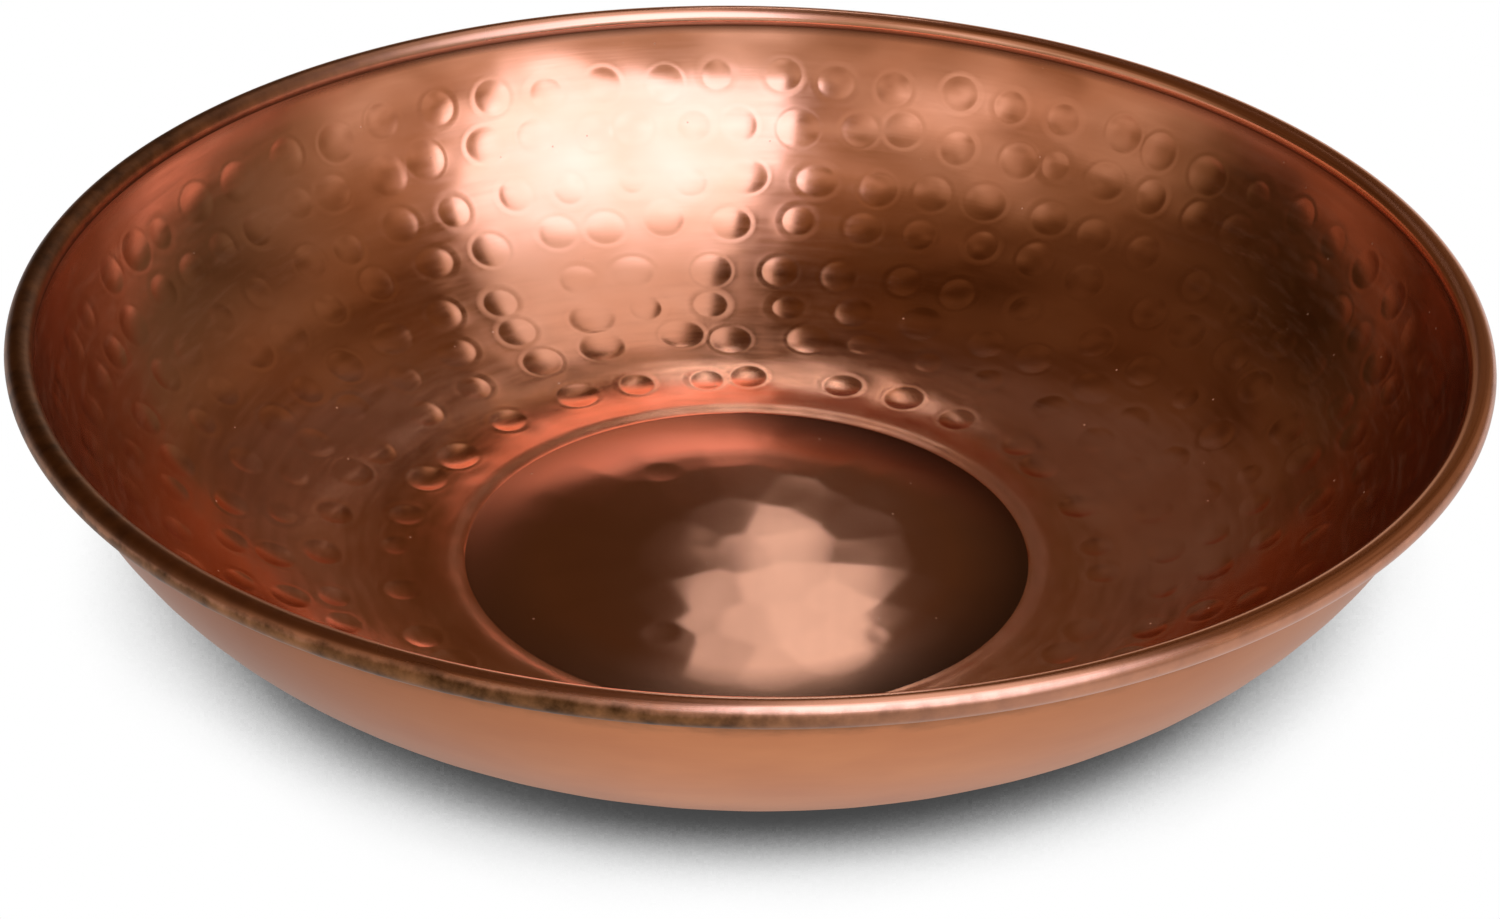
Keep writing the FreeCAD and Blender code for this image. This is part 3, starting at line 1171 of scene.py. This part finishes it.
# %% The room
room = bpy.data.worlds.new("dim_room")
bpy.context.scene.world = room
room.use_nodes = True
tree = room.node_tree
tree.nodes.clear()
room.cycles_visibility.diffuse = False  # the tent lights what is matt
way = add_node(tree, "TexCoord").outputs["Generated"]
height = add_node(tree, "SeparateXYZ", {0: way}).outputs["Z"]
tilt = add_node(tree, "Math", {0: height}, operation="ARCCOSINE").outputs[0]
tilt = add_node(tree, "Math", {0: tilt}, operation="DEGREES").outputs[0]
level = add_node(
    tree, "VectorMath", {0: way, 1: (1, 1, 0)}, operation="MULTIPLY"
).outputs[0]
level = add_node(tree, "VectorMath", {0: level}, operation="NORMALIZE").outputs[0]
level = add_node(tree, "VectorMath", {0: level, 3: tilt}, operation="SCALE").outputs[0]
both = add_node(tree, "SeparateXYZ", {0: level})
to_right, to_back = both.outputs["X"], both.outputs["Y"]

# %% The window and its strip of light
ease = {"interpolation_type": "SMOOTHSTEP"}
near_end = add_node(
    tree, "MapRange", {"Value": to_back, "From Min": -69.0, "From Max": -60.0}, **ease
).outputs[0]
pane = add_node(
    tree,
    "MapRange",
    {"Value": to_back, "From Min": 8.0, "From Max": -22.0, "To Min": 0.85, "To Max": 2.05},
    **ease,
).outputs[0]
right_side = add_node(
    tree, "MapRange", {"Value": to_right, "From Min": 59.0, "From Max": 44.0}, **ease
).outputs[0]
parts = []
for slope, outside, inside in ((0.62, 33.5, 27.0), (0.29, 20.6, 17.4)):
    slant = add_node(
        tree, "Math", {0: to_back, 1: slope, 2: to_right}, operation="MULTIPLY_ADD"
    ).outputs[0]
    part = add_node(
        tree, "MapRange", {"Value": slant, "From Min": outside, "From Max": inside}, **ease
    )
    parts.append(part.outputs[0])
wide_part, thin_part = parts
shape = add_node(tree, "Math", {0: wide_part, 1: thin_part}, operation="MAXIMUM").outputs[0]
nearer = add_node(tree, "Math", {0: to_back, 1: 5.0}, operation="SUBTRACT").outputs[0]
nearer = add_node(tree, "Math", {0: nearer, 1: 0.0}, operation="MINIMUM").outputs[0]
curtain = add_node(
    tree, "Math", {0: nearer, 1: -0.13, 2: to_right}, operation="MULTIPLY_ADD"
).outputs[0]
far_end = add_node(
    tree, "MapRange", {"Value": to_back, "From Min": 53.0, "From Max": 30.0}, **ease
).outputs[0]
for limit in (near_end, right_side, shape, far_end):
    pane = add_node(tree, "Math", {0: pane, 1: limit}, operation="MULTIPLY").outputs[0]
left_edge = add_node(
    tree, "MapRange", {"Value": curtain, "From Min": 0.4, "From Max": 3.0}, **ease
).outputs[0]

# %% The dim rest of the room: lighter in front and on the right, and a far lamp
front = add_node(
    tree,
    "MapRange",
    {"Value": to_back, "From Min": 6.0, "From Max": -42.0, "To Min": 0.04, "To Max": 0.38},
    **ease,
).outputs[0]
right = add_node(
    tree,
    "MapRange",
    {"Value": to_right, "From Min": 0.0, "From Max": 120.0, "To Min": 0.0, "To Max": 0.22},
    **ease,
).outputs[0]
away = add_node(
    tree, "VectorMath", {0: level, 1: (-37.0, -53.0, 0)}, operation="DISTANCE"
).outputs["Value"]
lamp = add_node(
    tree,
    "MapRange",
    {"Value": away, "From Min": 18.0, "From Max": 5.0, "To Min": 0.0, "To Max": 0.35},
    **ease,
).outputs[0]
low_wall = add_node(
    tree,
    "MapRange",
    {"Value": to_back, "From Min": -60.0, "From Max": -68.0, "To Min": 0.0, "To Max": 0.25},
    **ease,
).outputs[0]
low_wall = add_node(
    tree, "Math", {0: low_wall, 1: left_edge}, operation="MULTIPLY"
).outputs[0]
dim = front
for glimmer in (right, lamp, low_wall):
    dim = add_node(tree, "Math", {0: dim, 1: glimmer}, operation="ADD").outputs[0]

# %% Corners and the far wall
corners = add_node(
    tree, "TexNoise", {"Vector": way, "Scale": 5.0, "Detail": 1.0}
).outputs["Fac"]
corners = add_node(
    tree,
    "MapRange",
    {"Value": corners, "From Min": 0.35, "From Max": 0.65, "To Min": 0.6, "To Max": 1.5},
).outputs[0]
dim = add_node(tree, "Math", {0: dim, 1: corners}, operation="MULTIPLY").outputs[0]
far_wall = add_node(
    tree,
    "MapRange",
    {"Value": to_back, "From Min": 69.0, "From Max": 82.0, "To Min": 0.0, "To Max": 0.55},
    **ease,
).outputs[0]
not_left = add_node(
    tree,
    "MapRange",
    {"Value": to_right, "From Min": -20.0, "From Max": 10.0, "To Min": 0.15, "To Max": 1.0},
    **ease,
).outputs[0]
dim = add_node(
    tree, "Math", {0: far_wall, 1: not_left, 2: dim}, operation="MULTIPLY_ADD"
).outputs[0]
bright = add_node(
    tree, "Math", {0: pane, 1: left_edge, 2: dim}, operation="MULTIPLY_ADD"
).outputs[0]

# %% The dimmer, the redder
red = add_node(tree, "Math", {0: bright, 1: 0.8}, operation="POWER").outputs[0]
blue = add_node(tree, "Math", {0: bright, 1: 1.3}, operation="POWER").outputs[0]
colour = add_node(tree, "CombineColor", {0: red, 1: bright, 2: blue}).outputs[0]
glow = add_node(tree, "Background", {"Color": colour, "Strength": 1.0})
add_node(tree, "OutputWorld", {"Surface": glow.outputs[0]})
print(room.name, "has", len(tree.nodes), "nodes")

# %% [markdown]
# ## The camera
# It stands in front of the bowl and looks down on it at thirty degrees through
# a long lens, which keeps the rim's ellipse nearly even.

# %% The camera
look_down, tilt_right = 30.22, 1.11  # degrees
bpy.ops.object.camera_add(location=(0.0004, -0.8995, 0.5553))
camera = bpy.context.object
camera.name = "camera"
camera.rotation_mode = "QUATERNION"
turned = Matrix.Rotation(
    math.radians(90 - look_down), 3, "X"
) @ Matrix.Rotation(math.radians(tilt_right), 3, "Z")
camera.rotation_quaternion = turned.to_quaternion()
camera.data.sensor_width = 36.0
camera.data.lens = 89.77
camera.data.clip_end = 50
bpy.context.scene.camera = camera
bpy.context.scene.view_settings.view_transform = "Standard"
print(
    "camera at", [round(v, 3) for v in camera.location], "m, lens", camera.data.lens, "mm"
)
